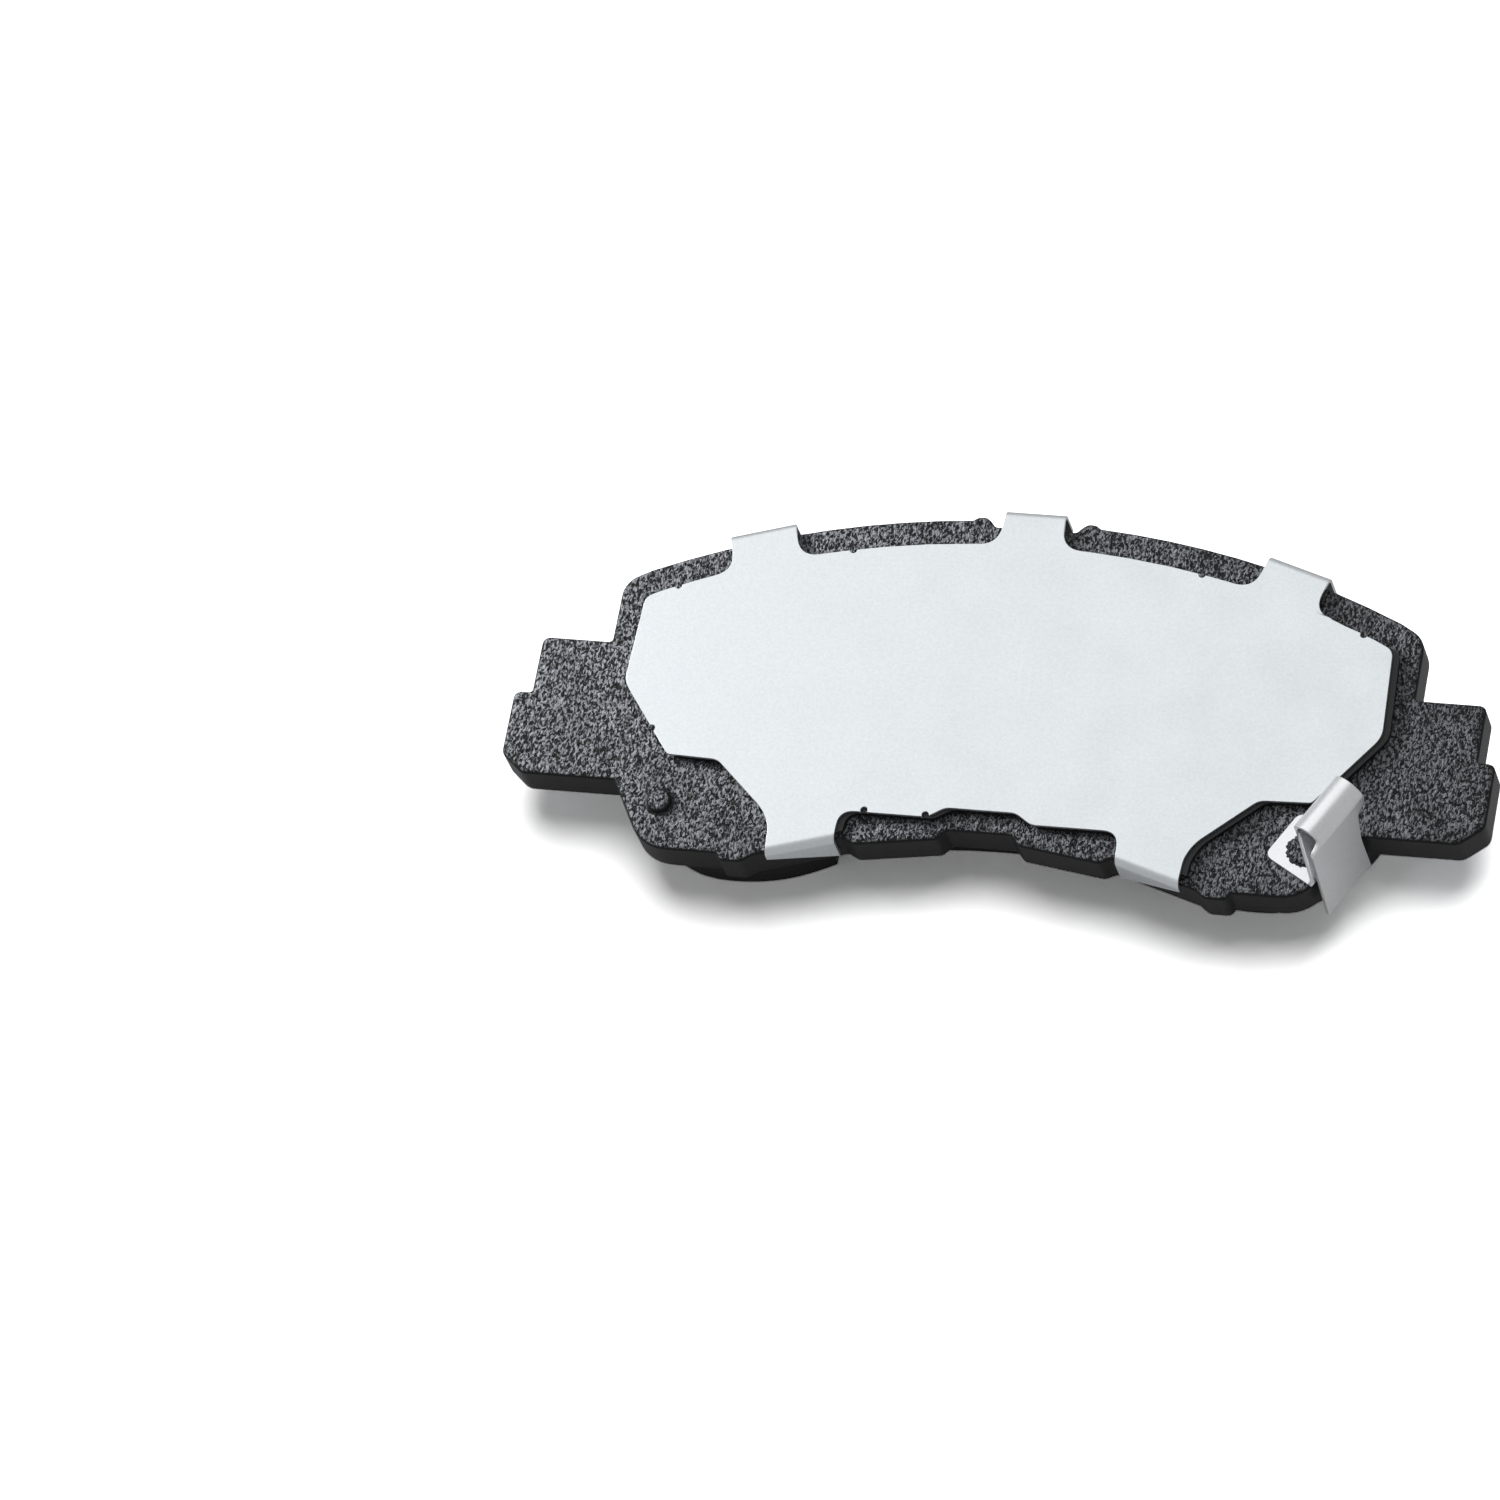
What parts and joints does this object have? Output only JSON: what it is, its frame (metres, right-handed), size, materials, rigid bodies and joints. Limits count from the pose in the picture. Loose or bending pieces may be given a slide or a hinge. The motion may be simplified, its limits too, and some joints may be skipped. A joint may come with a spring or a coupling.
{
  "type": "disc brake pad",
  "caption": "Disc brake pad with split friction blocks on a steel plate with eared ends, a clip-on shim over a thin inner shim, and a riveted wear indicator.",
  "frame": {"origin": "on the friction face, at the middle of the pad's width", "axes": "+X along the pad's length towards the wear indicator, +Y towards the disc's rim, +Z from the friction face to the shim"},
  "size_m": [0.149, 0.0597, 0.0263],
  "materials": {
    "friction": "sintered, grey green with metal specks",
    "underlayer": "coarse, dark brown",
    "adhesive": "cured resin",
    "coated_steel": "black powder coat with a fine grain",
    "rubber_film": "matt black",
    "shim_core": "dark rolled sheet",
    "bright_steel": "satin, pale grey",
    "spring_steel": "bright rolled"
  },
  "bodies": {
    "pad": {"backing_plate": "coated_steel", "bond_layer": "adhesive", "underlayer": "underlayer", "friction_left": "friction", "friction_centre": "friction", "friction_right": "friction", "wear_indicator": "spring_steel"},
    "inner_shim": {"inner_shim_film_plate_side": "rubber_film", "inner_shim_core": "shim_core", "inner_shim_film_outer_side": "rubber_film"},
    "outer_shim": {"outer_shim": "bright_steel"}
  },
  "joints": [
    {"name": "inner_shim_lift", "type": "slide", "parent": "pad", "child": "inner_shim", "axis": [0, 0, 1], "range_m": [0, 0.008]},
    {"name": "outer_shim_lift", "type": "slide", "parent": "inner_shim", "child": "outer_shim", "axis": [0, 0, 1], "range_m": [0, 0.008]}
  ]
}
